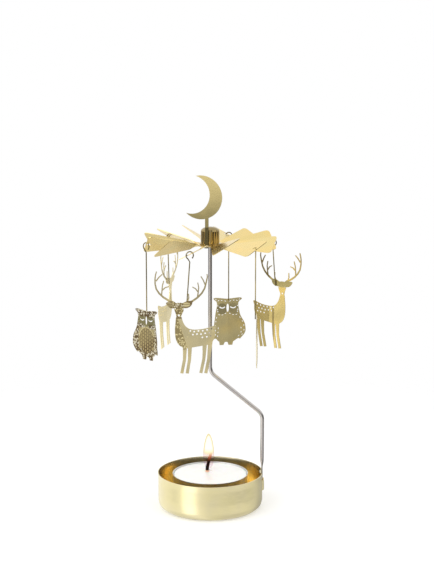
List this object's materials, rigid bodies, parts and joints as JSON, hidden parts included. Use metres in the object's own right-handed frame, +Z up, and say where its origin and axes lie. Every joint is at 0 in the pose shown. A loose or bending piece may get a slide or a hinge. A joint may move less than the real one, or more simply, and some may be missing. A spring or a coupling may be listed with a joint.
{
  "type": "candle carousel",
  "caption": "Tealight carousel: drawn cup, clipped wire stand with a needle point, pitched-blade rotor with moon finial, and hanging deer and owl figures.",
  "frame": {"origin": "centre of the cup's flat underside", "axes": "+Z up along the rotor's axis, +X towards the clip that holds the stand rod, -Y towards the front"},
  "size_m": [0.0834, 0.074, 0.1685],
  "materials": {
    "champagne_sheet": "satin champagne-gold plating, brighter gold inside",
    "steel_wire": "bright drawn wire",
    "tealight_aluminium": "thin bright foil",
    "wax": "soft white wax",
    "wick": "charred cotton",
    "rotor_sheet": "satin pale gold sheet",
    "polished_brass": "polished",
    "hanger_wire": "olive-gold wire",
    "figure_sheet": "satin olive-gold sheet, etched on the front"
  },
  "bodies": {
    "stand": {"candle_cup": "champagne_sheet", "stand_rod": "steel_wire"},
    "tealight": {"tealight_shell": "tealight_aluminium", "tealight_wax": "wax", "wick_sustainer": "tealight_aluminium", "tealight_wick": "wick"},
    "rotor": {"rotor_blades": "rotor_sheet", "hub_cap": "polished_brass", "moon_finial": "rotor_sheet"},
    "hanger_1": {"hanger_hook_1": "hanger_wire", "deer_figure_1": "figure_sheet"},
    "hanger_2": {"hanger_hook_2": "hanger_wire", "owl_figure_1": "figure_sheet"},
    "hanger_3": {"hanger_hook_3": "hanger_wire", "deer_figure_2": "figure_sheet"},
    "hanger_4": {"hanger_hook_4": "hanger_wire", "owl_figure_2": "figure_sheet"},
    "hanger_5": {"hanger_hook_5": "hanger_wire", "deer_figure_3": "figure_sheet"},
    "hanger_6": {"hanger_hook_6": "hanger_wire", "owl_figure_3": "figure_sheet"}
  },
  "joints": [
    {"name": "tealight_lift", "type": "slide", "parent": "stand", "child": "tealight", "axis": [0, 0, 1], "range_m": [0, 0.03]},
    {"name": "rotor_spin", "type": "hinge", "parent": "stand", "child": "rotor", "pos_m": [0, 0, 0.142], "axis": [0, 0, 1], "continuous": true},
    {"name": "hanger_1_swing", "type": "hinge", "parent": "rotor", "child": "hanger_1", "pos_m": [0.03121, 0.00707, 0.13405], "axis": [0.5, 0.866, 0], "range_deg": [-20, 20]},
    {"name": "hanger_2_swing", "type": "hinge", "parent": "rotor", "child": "hanger_2", "pos_m": [0.00941, 0.03043, 0.13406], "axis": [-0.3746, 0.9272, 0], "range_deg": [-20, 20]},
    {"name": "hanger_3_swing", "type": "hinge", "parent": "rotor", "child": "hanger_3", "pos_m": [-0.02162, 0.02336, 0.13448], "axis": [-0.9903, 0.1392, 0], "range_deg": [-20, 20]},
    {"name": "hanger_4_swing", "type": "hinge", "parent": "rotor", "child": "hanger_4", "pos_m": [-0.03107, -0.00703, 0.13404], "axis": [-0.6157, -0.788, 0], "range_deg": [-20, 20]},
    {"name": "hanger_5_swing", "type": "hinge", "parent": "rotor", "child": "hanger_5", "pos_m": [-0.00943, -0.03046, 0.1332], "axis": [0.3746, -0.9272, 0], "range_deg": [-20, 20]},
    {"name": "hanger_6_swing", "type": "hinge", "parent": "rotor", "child": "hanger_6", "pos_m": [0.02176, -0.02347, 0.13407], "axis": [1, 0, 0], "range_deg": [-20, 20]}
  ]
}
